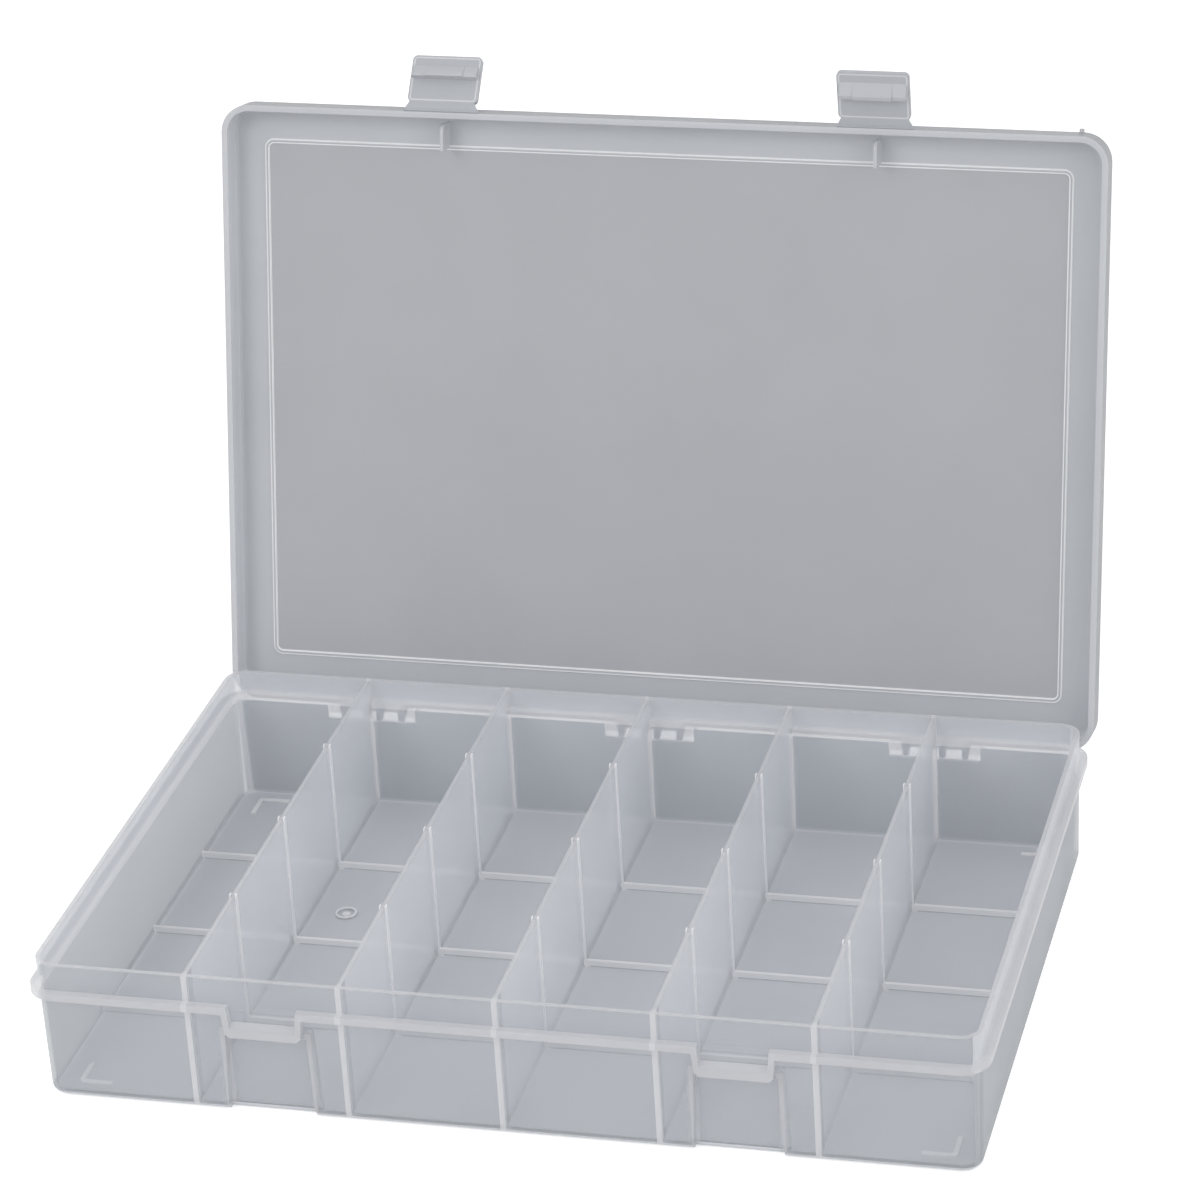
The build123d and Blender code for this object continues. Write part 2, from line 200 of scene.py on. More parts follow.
class MouldSizes(bpy.types.PropertyGroup):
    """Real sizes of the moulded forms that the finish follows."""

    rim: length("Rim", "Height of the top edges of the walls", 52.8)
    flange_low: length("Flange underside", "Height of the flange's underside", 40.2)
    flange_high: length("Flange top", "Height of the flange's top", 43.0)
    neck_low: length("Neck", "Height where the walls' pale neck begins", 41.0)
    root_lift: length("Root", "From the flange's middle to its root's brightest height", 0.8)
    root_half: length("Root band", "Half the height of the brightest band there", 1.0)
    root_fade: length("Root fade", "How far that band fades out", 3.0)
    wall_half: length("Front wall", "From the middle to the outside of the front wall", 111.5)
    end_half: length("End wall", "From the middle to the outside of an end wall", 163.9)
    draft: length("Draft", "How much further in the walls stand at their foot", 0.8)
    wall: length("Wall", "Thickness of the walls", 1.5)
    lean: length("Lean", "How far the walls' masks reach past their inner faces", 1.2)
    floor_high: length("Floor", "Height between the floor and the tops of its ribs", 2.0)
    divider: length("Divider", "Thickness of the dividers", 1.4)
    row_pitch: length("Rows", "Distance between the rows of ribs", 56.125)
    rib: length("Rib", "Width of the ribs on floor and dividers", 1.6)
    hinge_half: length("Hinge", "Half the length of a hinge with its ears", 17.3)
    hinge_low: length("Hinge underside", "Height of the lower end of the hinge hooks", 35.2)
    floor_rib_top: length("Floor rib", "Height of the ribs on the floor", 4.0)
    catch_low: length("Catch underside", "Height of the catch's lower edge", 31.5)
    pocket_half: length("Pocket", "Half the width of a pocket at middle height", 15.0)
    pocket_line: length("Pocket line", "Half the width of a pocket's bright edge", 0.6)
    pocket_fade: length("Pocket edge", "How far a pocket's edges fade into the wall", 1.6)
    pocket_high: length("Pocket top", "Height where a pocket's edges end", 33.5)
    pocket_front: length("Pocket front", "How far before the front wall its edges reach", 1.0)
    pocket_deep: length("Pocket face", "From the middle to the pocket's face", 107.9)
    lid_half_x: length("Lid", "Half the length of the lid", 166.7)
    lid_half_y: length("Lid depth", "Half the depth of the lid", 114.3)
    lid_corner: length("Lid corner", "Corner radius of the lid's outline", 10.5)
    lid_rim: length("Lid rim", "Height of the closed lid's lower rim", 43.15)
    panel_under: length("Panel", "Height of the underside of the closed lid's panel", 53.55)
    ridge_inset: length("Ridge", "From the lid's edge to the middle of its ridge", 14.5)
    ridge_rear: length("Rear ridge", "From the lid's rear edge to the middle of its ridge", 16.2)
    ridge_half: length("Ridge width", "Half the width of the ridge", 0.66)
    # The ridge's bright lines are painted highlights of its rounded edges
    ridge_line: length("Ridge line", "Width of the bright line along each edge of it", 0.55)
    ridge_radius: length("Ridge corner", "Corner radius along the middle of the ridge", 2.8)
    ridge_high: length("Ridge height", "How far the ridge may stand off the panel", 1.0)
    fin_half: length("Fin", "Half the thickness of a fin behind a latch", 0.65)
    fin_reach: length("Fin reach", "How far a fin may reach past the ridge's middle", 2.0)
    latch_plate_in: length("Latch inside", "Closed latch's inner face from the middle", 114.5)
    latch_plate_out: length("Latch outside", "Closed latch's outer face from the middle", 115.9)
    latch_half: length("Latch width", "Half the width of a latch's plate", 13.3)
    latch_low: length("Latch end", "Height of the closed latch's lower end", 22.0)
    latch_web: length("Latch web", "Height where the closed latch's thin web ends", 40.4)
    latch_corner: length("Latch corner", "Corner radius of a latch's plate", 1.8)
    latch_border: length("Latch border", "From a latch's edge to the middle of its border", 0.85)
    latch_line: length("Latch line", "Width of the bright line along that border", 0.6)
    latch_tab: length("Latch tab", "How far a latch's end may stand out from its plate", 5.0)
    hair: length("Hair", "Step that tells a face from one that stands out of it", 0.1)
    skin: length("Skin", "How far the masks of ribs, rims and flange reach past them", 0.3)
    rim_skin: length("Rim skin", "How far the mask of the lid's rim reaches up", 0.4)
    face_skin: length("Face skin", "How far the masks of outer faces reach into them", 0.5)
    panel_skin: length("Panel skin", "How far masks keep to either side of the panel", 0.7)


class MarkSizes(bpy.types.PropertyGroup):
    """The small raised marks that the mould leaves on the floor of the tray."""

    floor_top: length("Floor", "Height of the floor's upper side", 1.6)
    corner_x: length("Corner place", "From the middle to the corner ribs' outside, along", 154.2)
    corner_y: length("Corner depth", "From the middle to the corner ribs' outside, across", 103.8)
    corner_leg: length("Corner leg", "Length of each leg of a corner rib", 12.3)
    corner_width: length("Corner width", "Width of a corner rib", 1.8)
    corner_high: length("Corner height", "Height of the corner ribs above the floor", 0.6)
    corner_round: length("Corner round", "Outer radius of a corner rib", 2.6)
    ring_x: length("Ring place", "Middle of the ring mark, along the box", -95.3)
    ring_y: length("Ring depth", "Middle of the ring mark, across the box", 22.5)
    ring_radius: length("Ring radius", "Outer radius of the ring mark", 4.0)
    ring_width: length("Ring width", "Width of the ring mark's line", 0.8)
    ring_high: length("Ring height", "Height of the ring mark above the floor", 0.35)
    button_radius: length("Button", "Radius of the plain button in the ring", 1.5)
    sunk: length("Sunk", "How far the marks reach down into the floor", 0.3)
    rounding: length("Rounding", "Radius of the marks' rims", 0.2)


class StudioSizes(bpy.types.PropertyGroup):
    """The camera, as it stood for the photograph, the floor and the lamps."""

    azimuth: angle("Azimuth", "Camera's direction round the box, from straight in front", 14.016)
    elevation: angle("Elevation", "Camera's height above the horizon", 25.978)
    roll: angle("Roll", "Camera's turn about its own line of sight", -2.787)
    distance: length("Distance", "From the camera to the point that it aims at", 1665.87)
    aim_height: length("Aim height", "Height in the tray that the aim is measured from", 25)
    aim_right: length("Aim right", "How far the aim lies right of the tray's middle", 48.15)
    aim_up: length("Aim up", "How far the aim lies above that height in the picture", 107.51)
    lens: bpy.props.FloatProperty(
        name="Lens",
        description="Focal length in millimetres on a 36 mm frame",
        unit="CAMERA",
        default=140.35,
    )
    shift_x: bpy.props.FloatProperty(
        name="Shift right", description="Lens shift in frame widths", default=-0.0833
    )
    shift_y: bpy.props.FloatProperty(
        name="Shift up", description="Lens shift in frame widths", default=0.0
    )
    floor_size: length("Floor size", "Length of each side of the paper floor", 12000)
    floor_drop: length("Floor drop", "How far the paper lies below the box", 0.2)
    paper_white: factor("Paper", "Share of the light that the paper returns", 0.8)
    paper_glow: factor("Paper glow", "What the camera sees on top of that", 0.5)
    lamp_aim: point("Lamp aim", "Point that both lamps are turned to", (0, 0.02, 0.06))
    right_place: point("Right place", "Where the right lamp stands", (1.6, -0.9, 1.1))
    left_place: point("Left place", "Where the left lamp stands", (-0.9, -1.3, 1.3))
    right_size: length("Right size", "Diameter of the right lamp", 1000)
    left_size: length("Left size", "Diameter of the left lamp", 900)
    right_power: bpy.props.FloatProperty(
        name="Right lamp", description="Power of the lamp at the right", unit="POWER", default=4.5
    )
    left_power: bpy.props.FloatProperty(
        name="Left lamp", description="Power of the lamp at the left", unit="POWER", default=6.5
    )
    room: bpy.props.FloatProperty(
        name="Room light", description="Strength of the light from all round", default=0.80
    )


def moulded_polypropylene(name, plastic, mould, zones):
    """Natural polypropylene, injection moulded in a satin mould: milky, see-through, soft gloss.

    zones returns the sockets with the piece's colour, painted light and shade included, and its opacity.
    """
    material = bpy.data.materials.new(name)
    material.use_nodes = True
    tree = material.node_tree
    tree.nodes.clear()
    place = add_node(tree, "ShaderNodeTexCoord").outputs["Object"]
    colour, opacity = zones(tree, place, plastic, mould)
    # Faint clouds, some 40 mm across, where the plastic cooled at different speeds
    clouds = add_node(
        tree,
        "ShaderNodeTexNoise",
        {"Vector": place, "Scale": 1 / plastic.clouds, "Detail": 2.0, "Roughness": 0.45},
    ).outputs["Fac"]
    shade = spread(tree, clouds, 1 - plastic.shade, 1 + plastic.shade)
    satin = spread(
        tree, clouds, plastic.roughness - plastic.smoother, plastic.roughness + plastic.rougher
    )
    body = add_node(
        tree,
        "ShaderNodeMix",
        {"Factor": 1.0, 6: colour, 7: shade},
        data_type="RGBA",
        blend_type="MULTIPLY",
    )
    # Satin grain of the mould, drawn coarse enough to show at this distance
    grain = add_node(
        tree,
        "ShaderNodeTexNoise",
        {"Vector": place, "Scale": 1 / plastic.grain, "Detail": 3.0, "Roughness": 0.6},
    )
    bump = add_node(
        tree,
        "ShaderNodeBump",
        {"Height": grain.outputs["Fac"], "Strength": 0.2, "Distance": plastic.grain_deep},
    )
    shader = add_node(
        tree,
        "ShaderNodeBsdfPrincipled",
        {
            "Base Color": body.outputs[2],
            "Roughness": satin,
            "Normal": bump.outputs["Normal"],
            "IOR": 1.49,
            "Alpha": opacity,
        },
    )
    add_node(tree, "ShaderNodeOutputMaterial", {"Surface": shader.outputs[0]})
    return material


def spread(tree, noise, low, high):
    """A noise's middle range stretched from low to high."""
    return add_node(
        tree,
        "ShaderNodeMapRange",
        {"Value": noise, "From Min": 0.3, "From Max": 0.7, "To Min": low, "To Max": high},
    ).outputs["Result"]


def between(tree, value, low, high):
    """1 where a value lies from low to high, else 0."""
    return add_node(
        tree,
        "ShaderNodeMath",
        {0: value, 1: (low + high) / 2, 2: (high - low) / 2},
        operation="COMPARE",
    ).outputs[0]


def combined(tree, operation, first, *others):
    """Masks put together: MULTIPLY for where all of them hold, MAXIMUM for where any does."""
    for other in others:
        inputs = {0: first, 1: other}
        first = add_node(tree, "ShaderNodeMath", inputs, operation=operation).outputs[0]
    return first


def away_from(tree, value, place):
    """How far a value lies from a place, to either side."""
    off = add_node(tree, "ShaderNodeMath", {0: value, 1: place}, operation="SUBTRACT")
    return add_node(tree, "ShaderNodeMath", {0: off.outputs[0]}, operation="ABSOLUTE").outputs[0]


def repeated(tree, value, step):
    """Distance to the nearest whole multiple of a step."""
    wrapped = add_node(
        tree, "ShaderNodeMath", {0: value, 1: step / 2, 2: -step / 2}, operation="WRAP"
    )
    return away_from(tree, wrapped.outputs[0], 0.0)


def fading(tree, value, place, reach, fade):
    """1 where a value lies within reach of a place, falling smoothly to 0 over the fade."""
    return add_node(
        tree,
        "ShaderNodeMapRange",
        {"Value": away_from(tree, value, place), "From Min": reach + fade, "From Max": reach},
        interpolation_type="SMOOTHSTEP",
    ).outputs["Result"]


def outside_of(tree, across, along, half_across, half_along, radius):
    """How far a point lies outside a rectangle with round corners, negative inside it.

    across and along are the point's distances from the rectangle's middle lines.
    """
    past = [
        combined(tree, "ADD", away, radius - half)
        for away, half in ((across, half_across), (along, half_along))
    ]
    corner = add_node(
        tree,
        "ShaderNodeCombineXYZ",
        {axis: combined(tree, "MAXIMUM", value, 0.0) for axis, value in zip("XY", past)},
    )
    round_it = add_node(
        tree, "ShaderNodeVectorMath", {0: corner.outputs[0]}, operation="LENGTH"
    ).outputs["Value"]
    within = combined(tree, "MINIMUM", combined(tree, "MAXIMUM", *past), 0.0)
    return combined(tree, "SUBTRACT", combined(tree, "ADD", round_it, within), radius)


def layered(tree, data_type, below, *layers):
    """A colour (RGBA) or value (FLOAT), with each layer's over it where its mask is 1."""
    first, second, result = (2, 3, 0) if data_type == "FLOAT" else (6, 7, 2)
    for mask, above in layers:
        inputs = {0: mask, first: below, second: above}
        below = add_node(tree, "ShaderNodeMix", inputs, data_type=data_type).outputs[result]
    return below


def tray_zones(tree, place, plastic, mould):
    """Walls, dividers and floor, whiter at rims, flange, ribs, catches and where walls meet, with painted
    light and shade on floor, dividers and walls, and painted highlight on the ribs.
    """
    x, y, z = add_node(tree, "ShaderNodeSeparateXYZ", {"Vector": place}).outputs
    away_x, away_y = away_from(tree, x, 0.0), away_from(tree, y, 0.0)
    off_divider = repeated(tree, x, divider_pitch)
    off_station = away_from(tree, away_x, station_x)
    last_divider, last_row = 2.5 * divider_pitch, 1.5 * mould.row_pitch
    mid_wall = mould.end_half - mould.draft - mould.wall / 2
    inner_x = mould.end_half - mould.wall - mould.lean
    inner_y = mould.wall_half - mould.wall - mould.lean
    # The walls
    end_wall = between(tree, away_x, inner_x, inner_x + REACH)
    long_wall = between(tree, away_y, inner_y, inner_y + REACH)
    rear_wall = between(tree, y, inner_y, inner_y + REACH)
    front_wall = between(tree, y, -inner_y - REACH, -mould.pocket_deep + 2 * mould.wall)
    neck = between(tree, z, mould.neck_low, mould.flange_low + REACH)
    hinge = combined(
        tree,
        "MULTIPLY",
        between(tree, repeated(tree, x, 2 * divider_pitch), BEFORE_ALL, mould.hinge_half),
        between(tree, z, mould.hinge_low, mould.neck_low),
    )
    floor = between(tree, z, -REACH, mould.floor_high)
    # The whiter places: thick plastic, and the ribs, whose white is partly painted highlight
    rim = between(tree, z, mould.rim - mould.skin, mould.rim + REACH)
    beyond_end = mould.end_half + mould.hair
    beyond_long = mould.wall_half + mould.hair
    beyond_wall = combined(
        tree,
        "MAXIMUM",
        between(tree, away_x, beyond_end, beyond_end + REACH),
        between(tree, away_y, beyond_long, beyond_long + REACH),
    )
    flange = combined(
        tree,
        "MULTIPLY",
        beyond_wall,
        between(tree, z, mould.catch_low, mould.flange_high + mould.skin),
    )
    junction = combined(
        tree,
        "MULTIPLY",
        between(tree, off_divider, BEFORE_ALL, mould.divider / 2 + mould.skin),
        long_wall,
    )
    at_row = combined(
        tree,
        "MULTIPLY",
        between(
            tree, repeated(tree, y, mould.row_pitch), BEFORE_ALL, mould.rib / 2 + mould.skin
        ),
        between(tree, away_y, BEFORE_ALL, last_row),
    )
    floor_rib = combined(
        tree,
        "MULTIPLY",
        at_row,
        between(tree, z, mould.floor_high, mould.floor_rib_top + mould.skin),
        between(tree, away_x, BEFORE_ALL, mid_wall),
    )
    upright = combined(
        tree,
        "MULTIPLY",
        at_row,
        between(tree, off_divider, mould.divider / 2 + mould.hair, 2 * mould.divider),
        between(tree, away_x, BEFORE_ALL, last_divider),
    )
    # Painted highlight: the ribs are painted white over their shaded side faces
    rib = combined(tree, "MAXIMUM", floor_rib, upright)
    pocket_edge = combined(
        tree,
        "MULTIPLY",
        plastic.pocket_white,
        fading(tree, off_station, mould.pocket_half, mould.pocket_line, mould.pocket_fade),
        between(tree, z, BEFORE_ALL, mould.pocket_high),
        between(
            tree,
            y,
            -mould.wall_half - mould.pocket_front,
            -mould.pocket_deep + mould.face_skin,
        ),
    )
    # The wall is thicker where the flange grows from its other side; the band is also painted light that
    # lifts the flange's top, shaded by the open lid behind the wall
    upper_walls = combined(tree, "MAXIMUM", end_wall, rear_wall)
    root_z = (mould.flange_low + mould.flange_high) / 2 + mould.root_lift
    flange_root = combined(
        tree,
        "MULTIPLY",
        combined(
            tree,
            "MAXIMUM",
            combined(tree, "MULTIPLY", end_wall, plastic.end_root_white),
            rear_wall,
        ),
        plastic.root_white,
        between(tree, z, mould.neck_low, mould.rim),
        fading(tree, z, root_z, mould.root_half, mould.root_fade),
    )
    thick = combined(tree, "MAXIMUM", rim, flange, junction, pocket_edge)
    outer = combined(tree, "MAXIMUM", end_wall, rear_wall, front_wall)
    # The end walls lean outwards, so their outer faces are told from a line that leans with them
    leaning = add_node(
        tree,
        "ShaderNodeMath",
        {0: z, 1: -mould.draft / mould.rim, 2: away_x},
        operation="MULTIPLY_ADD",
    ).outputs[0]
    end_outside = between(tree, leaning, mid_wall, mid_wall + REACH)
    below_neck = combined(
        tree, "MULTIPLY", rear_wall, between(tree, z, BEFORE_ALL, mould.flange_low)
    )
    above_flange = combined(tree, "MULTIPLY", upper_walls, neck)
    pale = combined(tree, "MAXIMUM", above_flange, combined(tree, "MULTIPLY", rear_wall, hinge))
    junction_white = combined(tree, "MULTIPLY", junction, plastic.junction_white)
    white = combined(tree, "MAXIMUM", rib, flange_root, junction_white)
    colour = layered(
        tree,
        "RGBA",
        # Painted light: dividers lighter than the walls, for the light that shines through them
        plastic.divider_lit_colour,
        (outer, plastic.thin_colour),
        # Painted shade: front wall darker than the other walls
        (front_wall, plastic.front_shaded_colour),
        # Painted shade: outer faces of the end walls darker
        (end_outside, plastic.end_shaded_colour),
        # Painted shade: rear wall below the flange darker
        (below_neck, plastic.rear_shaded_colour),
        (pale, plastic.neck_colour),
        # Painted light: floor lighter, to make up for the shade inside the box
        (floor, plastic.floor_lit_colour),
        (thick, plastic.thick_colour),
        # Ribs white as painted highlight; flange root and junctions whiter for thick plastic
        (white, plastic.white_and_highlight_colour),
    )
    rear_opacity = layered(
        tree,
        "FLOAT",
        plastic.panel_opacity,
        (neck, plastic.neck_opacity),
        (hinge, plastic.hinge_opacity),
    )
    opacity = layered(
        tree,
        "FLOAT",
        plastic.divider_opacity,
        (front_wall, plastic.front_opacity),
        (end_wall, plastic.wall_opacity),
        (rear_wall, rear_opacity),
        (thick, plastic.thick_opacity),
        (flange_root, plastic.thick_opacity),
        (rib, plastic.rib_opacity),
        (floor, plastic.panel_opacity),
    )
    return colour, opacity


def closed_place(tree, place, *turns):
    """The point that a place on an opened piece has when everything is closed."""
    for centre, turn in turns:
        place = add_node(
            tree,
            "ShaderNodeVectorRotate",
            {"Vector": place, "Center": centre, "Angle": turn},
            rotation_type="X_AXIS",
        ).outputs["Vector"]
    return add_node(tree, "ShaderNodeSeparateXYZ", {"Vector": place}).outputs


def lid_zones(tree, place, plastic, mould):
    """Panel of the lid, with painted highlights along the two edges of its ridge, its whiter rim and fins,
    and painted light and shade on panel, margin, skirt and outside.
    """
    x, y, z = closed_place(tree, place, (lid_hinge, lid_open))
    away_x, away_y = away_from(tree, x, 0.0), away_from(tree, y, 0.0)
    ridge_x = mould.lid_half_x - mould.ridge_inset
    ridge_front = mould.lid_half_y - mould.ridge_inset
    ridge_back = mould.lid_half_y - mould.ridge_rear
    off_middle = away_from(tree, y, (ridge_back - ridge_front) / 2)
    half_y = (ridge_back + ridge_front) / 2
    from_ridge = outside_of(tree, away_x, off_middle, ridge_x, half_y, mould.ridge_radius)
    line_in = mould.ridge_half - mould.ridge_line / 2
    panel_in = mould.panel_under + mould.panel_skin
    # Painted highlight: a bright line along each rounded edge of the ridge
    ridge = combined(
        tree,
        "MULTIPLY",
        between(tree, away_from(tree, from_ridge, 0.0), line_in, line_in + mould.ridge_line),
        between(tree, z, mould.panel_under - mould.ridge_high, panel_in),
    )
    rim = between(tree, z, mould.lid_rim - REACH, mould.lid_rim + mould.rim_skin)
    fin = combined(
        tree,
        "MULTIPLY",
        between(tree, away_from(tree, away_x, station_x), BEFORE_ALL, mould.fin_half),
        between(tree, z, mould.lid_rim, mould.panel_under - 2 * mould.hair),
        between(tree, y, -mould.wall_half, -ridge_front + mould.fin_reach),
    )
    nib = between(tree, y, -mould.lid_half_y - REACH, -mould.lid_half_y - mould.hair)
    thick = combined(tree, "MAXIMUM", rim, fin, nib)
    skirt = between(tree, z, mould.lid_rim, mould.panel_under - mould.panel_skin)
    margin = between(tree, from_ridge, 0.0, mould.lid_half_x)
    from_outline = outside_of(
        tree, away_x, away_y, mould.lid_half_x, mould.lid_half_y, mould.lid_corner
    )
    outer = between(tree, from_outline, -mould.face_skin, REACH)
    colour = layered(
        tree,
        "RGBA",
        # Painted shade: the panel is a darker copy of the plastic
        plastic.panel_shaded_colour,
        # Painted light: margin lighter, against the skirt's shadow
        (margin, plastic.margin_lit_colour),
        # Painted light: skirt lighter on its inside
        (skirt, plastic.skirt_lit_colour),
        # Painted shade: outer surfaces darker
        (outer, plastic.outside_shaded_colour),
        (thick, plastic.lid_rim_colour),
        # Painted highlight along the ridge's edges
        (ridge, plastic.white_and_highlight_colour),
    )
    opacity = layered(tree, "FLOAT", plastic.panel_opacity, (skirt, plastic.skirt_opacity))
    return colour, opacity


def latch_zones(tree, place, plastic, mould, joint):
    """Plate of a latch, with its whiter hook and the bright line of its border."""
    turn = math.radians(joint["range_deg"][1])
    x, y, z = closed_place(tree, place, (Vector(joint["pos_m"]), turn), (lid_hinge, lid_open))
    plate_in = -mould.latch_plate_in + mould.hair
    hook = between(tree, y, plate_in, 0.0)
    off_station = away_from(tree, away_from(tree, x, 0.0), station_x)
    off_middle = away_from(tree, z, (mould.latch_low + mould.latch_web) / 2)
    half_z = (mould.latch_web - mould.latch_low) / 2
    from_edge = outside_of(
        tree, off_station, off_middle, mould.latch_half, half_z, mould.latch_corner
    )
    line_in = -mould.latch_border - mould.latch_line / 2
    border = combined(
        tree,
        "MULTIPLY",
        between(tree, from_edge, line_in, line_in + mould.latch_line),
        between(tree, y, -mould.latch_plate_out - mould.latch_tab, plate_in),
    )
    hook_white = combined(tree, "MULTIPLY", hook, plastic.hook_white)
    whiter = combined(tree, "MAXIMUM", border, hook_white)
    colour = layered(tree, "RGBA", plastic.latch_colour, (whiter, plastic.thick_colour))
    return colour, plastic.panel_opacity


def dress(node, material):
    """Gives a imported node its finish."""
    obj = frame["nodes"][node]
    obj.data.materials.clear()
    obj.data.materials.append(material)


class BOX_OT_tray_finish(bpy.types.Operator):
    """Finish the tray in milky polypropylene"""

    bl_idname = "box.tray_finish"
    bl_label = "Tray finish"

    def execute(self, context):
        plastic, mould = context.scene.box_plastic, context.scene.box_mould
        material = moulded_polypropylene("polypropylene_satin_tray", plastic, mould, tray_zones)
        dress("tray", material)
        return {"FINISHED"}


class BOX_OT_lid_finish(bpy.types.Operator):
    """Finish the lid in milky polypropylene"""

    bl_idname = "box.lid_finish"
    bl_label = "Lid finish"

    def execute(self, context):
        plastic, mould = context.scene.box_plastic, context.scene.box_mould
        material = moulded_polypropylene("polypropylene_satin_lid", plastic, mould, lid_zones)
        dress("lid", material)
        return {"FINISHED"}


class BOX_OT_latch_finish(bpy.types.Operator):
    """Finish both latches in milky polypropylene"""

    bl_idname = "box.latch_finish"
    bl_label = "Latch finish"

    def execute(self, context):
        plastic, mould = context.scene.box_plastic, context.scene.box_mould
        for node in ("latch_left", "latch_right"):
            zones = functools.partial(latch_zones, joint=joints[node + "_hinge"])
            material = moulded_polypropylene("polypropylene_satin_" + node, plastic, mould, zones)
            dress(node, material)
        return {"FINISHED"}


def select_where(obj, kind, wanted):
    """In edit mode, selects the faces or edges of a mesh that are wanted."""
    bpy.ops.object.mode_set(mode="EDIT")
    bpy.ops.mesh.select_mode(type=kind)
    bpy.ops.mesh.select_all(action="DESELECT")
    bpy.ops.object.mode_set(mode="OBJECT")
    for element in obj.data.polygons if kind == "FACE" else obj.data.edges:
        element.select = wanted(element)
    bpy.ops.object.mode_set(mode="EDIT")


def round_corner(obj, x, y, radius):
    """Rounds the upright edge that stands at x and y in a mesh."""

    def stands_there(edge):
        ends = [obj.data.vertices[index].co for index in edge.vertices]
        return all(abs(end.x - x) + abs(end.y - y) < TOUCHING for end in ends)

    select_where(obj, "EDGE", stands_there)
    bpy.ops.mesh.bevel(offset=radius, segments=8, affect="EDGES")
    bpy.ops.object.mode_set(mode="OBJECT")


def finish_mark(obj, rounding, material):
    """Rounds a mark's rims, puts its place into its mesh and gives it its finish."""
    bevel = obj.modifiers.new("Rounding", "BEVEL")
    bevel.width = rounding
    bevel.segments = 3
    bevel.limit_method = "ANGLE"
    bpy.ops.object.modifier_apply(modifier=bevel.name)
    bpy.ops.object.shade_smooth_by_angle(angle=SMOOTH_UNDER)
    bpy.ops.object.transform_apply(location=True, rotation=True, scale=True)
    obj.data.materials.append(material)


def stand_on_tray(obj, name):
    """Names a mark and lets it ride on the tray."""
    obj.name = name
    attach(obj, "tray")


def mirrored(obj, across, along):
    """A copy with its own mesh, mirrored about the box's middle where a factor is -1."""
    select_only(obj)
    bpy.ops.object.duplicate(linked=False)
    copy = bpy.context.object
    copy.scale = (across, along, 1)
    bpy.ops.object.transform_apply(location=False, rotation=False, scale=True)
    bpy.ops.object.mode_set(mode="EDIT")
    bpy.ops.mesh.select_all(action="SELECT")
    bpy.ops.mesh.normals_make_consistent(inside=False)
    bpy.ops.object.mode_set(mode="OBJECT")
    return copy


def mark_zones(tree, place, plastic, mould):
    """A raised mark is painted white all over like a rib, partly as painted highlight."""
    return plastic.white_and_highlight_colour, plastic.rib_opacity


class BOX_OT_floor_marks(bpy.types.Operator):
    """Raise the ring and the four L-shaped corner ribs on the floor of the tray"""

    bl_idname = "box.floor_marks"
    bl_label = "Floor marks"

    def execute(self, context):
        marks = context.scene.box_marks
        plastic, mould = context.scene.box_plastic, context.scene.box_mould
        material = moulded_polypropylene("polypropylene_satin_marks", plastic, mould, mark_zones)
        # A block at the rear left corner, with a leg drawn out to the right and one to the front
        half = marks.corner_width / 2
        tall = marks.corner_high + marks.sunk
        select_only()
        bpy.ops.mesh.primitive_cube_add(
            size=1,
            location=(
                -marks.corner_x + half,
                marks.corner_y - half,
                marks.floor_top + marks.corner_high - tall / 2,
            ),
        )
        corner = context.object
        corner.scale = (2 * half, 2 * half, tall)
        bpy.ops.object.transform_apply(location=False, rotation=False, scale=True)
        for side in (Vector((1, 0, 0)), Vector((0, -1, 0))):

            def ends_the_block(face):
                looks_out = face.normal.dot(side) > 0.99
                return looks_out and face.center.cross(side).length < half / 2

            select_where(corner, "FACE", ends_the_block)
            bpy.ops.mesh.extrude_region_move(
                TRANSFORM_OT_translate={"value": side * (marks.corner_leg - 2 * half)}
            )
            bpy.ops.object.mode_set(mode="OBJECT")
        round_corner(corner, -half, half, marks.corner_round)
        round_corner(corner, half, -half, marks.corner_round - 2 * half)
        finish_mark(corner, marks.rounding, material)
        stand_on_tray(mirrored(corner, -1, 1), "corner_rib_rear_right")
        stand_on_tray(mirrored(corner, 1, -1), "corner_rib_front_left")
        stand_on_tray(mirrored(corner, -1, -1), "corner_rib_front_right")
        stand_on_tray(corner, "corner_rib_rear_left")

        # A ring with a plain button in its middle, drawn flat and then given its height
        select_only()
        inner = marks.ring_radius - marks.ring_width
        bpy.ops.mesh.primitive_circle_add(
            vertices=64,
            radius=inner,
            location=(marks.ring_x, marks.ring_y, marks.floor_top + marks.ring_high),
        )
        ring = context.object
        bpy.ops.object.mode_set(mode="EDIT")
        bpy.ops.mesh.select_all(action="SELECT")
        bpy.ops.mesh.extrude_edges_move()
        bpy.ops.transform.resize(value=(marks.ring_radius / inner, marks.ring_radius / inner, 1))
        bpy.ops.mesh.select_all(action="DESELECT")
        bpy.ops.mesh.primitive_circle_add(
            vertices=32,
            radius=marks.button_radius,
            fill_type="NGON",
            location=ring.location,
        )
        bpy.ops.mesh.select_all(action="SELECT")
        bpy.ops.mesh.normals_make_consistent(inside=False)
        bpy.ops.object.mode_set(mode="OBJECT")
        height = ring.modifiers.new("Height", "SOLIDIFY")
        height.thickness = marks.ring_high + marks.sunk
        height.offset = -1
        bpy.ops.object.modifier_apply(modifier=height.name)
        finish_mark(ring, marks.rounding / 2, material)
        stand_on_tray(ring, "floor_ring")
        return {"FINISHED"}


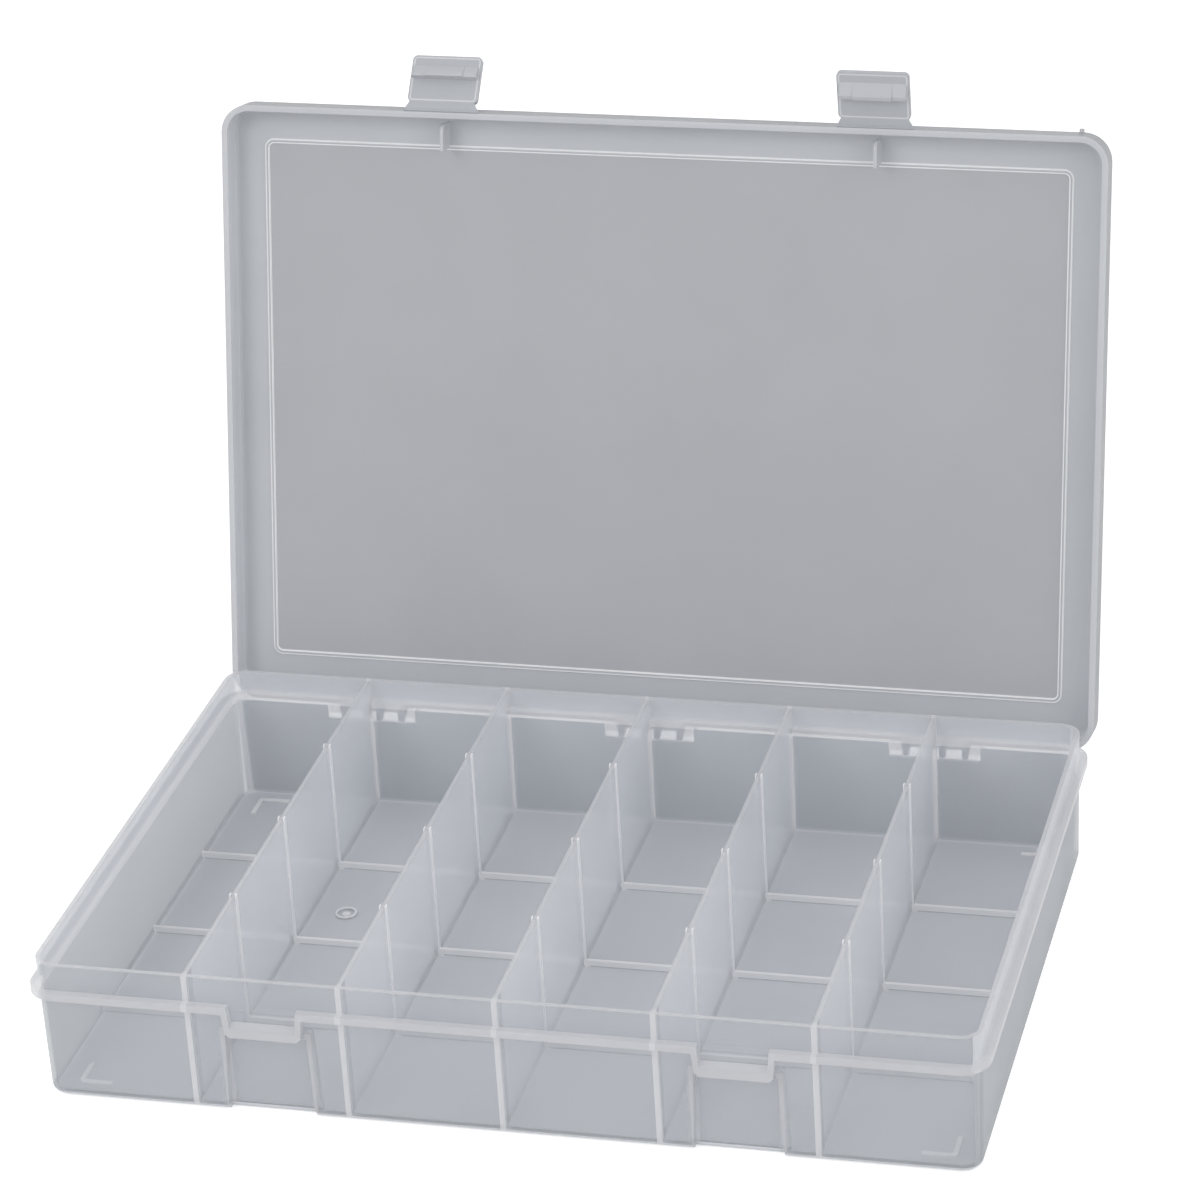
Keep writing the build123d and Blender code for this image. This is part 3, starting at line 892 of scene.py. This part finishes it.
def white_for_camera(tree, lit):
    """Strength 1 for the camera, its gloss and what it sees through, lit for all other light."""
    path = add_node(tree, "ShaderNodeLightPath")
    rays = ("Is Camera Ray", "Is Glossy Ray", "Is Transmission Ray")
    seen = combined(tree, "MAXIMUM", *(path.outputs[ray] for ray in rays))
    return add_node(
        tree, "ShaderNodeMapRange", {"Value": seen, "To Min": lit, "To Max": 1.0}
    ).outputs["Result"]


def area_lamp(name, place, aim, size, power):
    """A soft round lamp at a place, turned to its aim."""
    bpy.ops.object.light_add(type="AREA", location=place)
    lamp = bpy.context.object
    lamp.name = name
    lamp.data.shape = "DISK"
    lamp.data.size = size
    lamp.data.energy = power
    lamp.rotation_euler = (Vector(aim) - Vector(place)).to_track_quat("-Z", "Y").to_euler()
    return lamp


class BOX_OT_studio(bpy.types.Operator):
    """Set up the pale floor, the soft lamps and the camera of the photograph"""

    bl_idname = "box.studio"
    bl_label = "Studio"

    def execute(self, context):
        sizes = context.scene.box_studio
        scene = context.scene
        select_only()
        # Pale floor, white to the camera, that keeps the shadow of the box
        bpy.ops.mesh.primitive_plane_add(size=sizes.floor_size, location=(0, 0, -sizes.floor_drop))
        floor = context.object
        floor.name = "studio_floor"
        paper = bpy.data.materials.new("white_paper_floor")
        paper.use_nodes = True
        tree = paper.node_tree
        tree.nodes.clear()
        white = (*[sizes.paper_white] * 3, 1)
        diffuse = add_node(tree, "ShaderNodeBsdfDiffuse", {"Color": white})
        glow = add_node(
            tree,
            "ShaderNodeEmission",
            {"Color": (*[sizes.paper_glow] * 3, 1), "Strength": white_for_camera(tree, 0.0)},
        )
        both = add_node(tree, "ShaderNodeAddShader", {0: diffuse.outputs[0], 1: glow.outputs[0]})
        add_node(tree, "ShaderNodeOutputMaterial", {"Surface": both.outputs[0]})
        floor.data.materials.append(paper)

        world = bpy.data.worlds.new("studio_room")
        scene.world = world
        world.use_nodes = True
        tree = world.node_tree
        tree.nodes.clear()
        sky = add_node(
            tree,
            "ShaderNodeBackground",
            {"Color": (1, 1, 1, 1), "Strength": white_for_camera(tree, sizes.room)},
        )
        add_node(tree, "ShaderNodeOutputWorld", {"Surface": sky.outputs[0]})

        for side in ("right", "left"):
            area_lamp(
                side + "_lamp",
                getattr(sizes, side + "_place"),
                sizes.lamp_aim,
                getattr(sizes, side + "_size"),
                getattr(sizes, side + "_power"),
            )

        # The camera of the photograph
        az, el, roll = sizes.azimuth, sizes.elevation, sizes.roll
        back = Vector((math.sin(az) * math.cos(el), -math.cos(az) * math.cos(el), math.sin(el)))
        right = Vector((math.cos(az), math.sin(az), 0))
        up = back.cross(right)
        aim = Vector((0, 0, sizes.aim_height)) + right * sizes.aim_right + up * sizes.aim_up
        turned_right = right * math.cos(roll) + up * math.sin(roll)
        turned_up = up * math.cos(roll) - right * math.sin(roll)
        bpy.ops.object.camera_add()
        camera = context.object
        camera.name = "photo_camera"
        axes = Matrix((turned_right, turned_up, back)).transposed()
        camera.matrix_world = Matrix.Translation(aim + back * sizes.distance) @ axes.to_4x4()
        camera.data.sensor_width = 36
        camera.data.lens = sizes.lens
        camera.data.shift_x = sizes.shift_x
        camera.data.shift_y = sizes.shift_y
        camera.data.clip_start = 0.01
        camera.data.dof.use_dof = False
        scene.camera = camera
        scene.view_settings.view_transform = "Standard"
        # The view passes through up to a dozen walls, two surfaces each
        scene.cycles.transparent_max_bounces = 32
        return {"FINISHED"}


class BOX_PT_panel(bpy.types.Panel):
    """The steps of the storage box, in order"""

    bl_label = "Storage box"
    bl_idname = "BOX_PT_panel"
    bl_space_type = "VIEW_3D"
    bl_region_type = "UI"
    bl_category = "Storage box"

    def draw(self, context):
        for operator in OPERATORS:
            self.layout.operator(operator.bl_idname)
        for name, group in GROUPS.items():
            box = self.layout.box()
            for size in group.__annotations__:
                box.prop(getattr(context.scene, name), size)


OPERATORS = (
    BOX_OT_tray_finish,
    BOX_OT_lid_finish,
    BOX_OT_latch_finish,
    BOX_OT_floor_marks,
    BOX_OT_studio,
)
GROUPS = {
    "box_plastic": PlasticSizes,
    "box_mould": MouldSizes,
    "box_marks": MarkSizes,
    "box_studio": StudioSizes,
}
CLASSES = (*GROUPS.values(), *OPERATORS, BOX_PT_panel)


def register():
    """Registers the classes and puts their settings on the scene."""
    for cls in CLASSES:
        bpy.utils.register_class(cls)
    for name, group in GROUPS.items():
        setattr(bpy.types.Scene, name, bpy.props.PointerProperty(type=group))


def unregister():
    """Takes the settings and the classes away again."""
    for name in GROUPS:
        delattr(bpy.types.Scene, name)
    for cls in reversed(CLASSES):
        bpy.utils.unregister_class(cls)


def main():
    """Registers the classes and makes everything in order."""
    register()
    for operator in OPERATORS:
        group, name = operator.bl_idname.split(".")
        getattr(getattr(bpy.ops, group), name)()


if __name__ == "__main__":
    main()
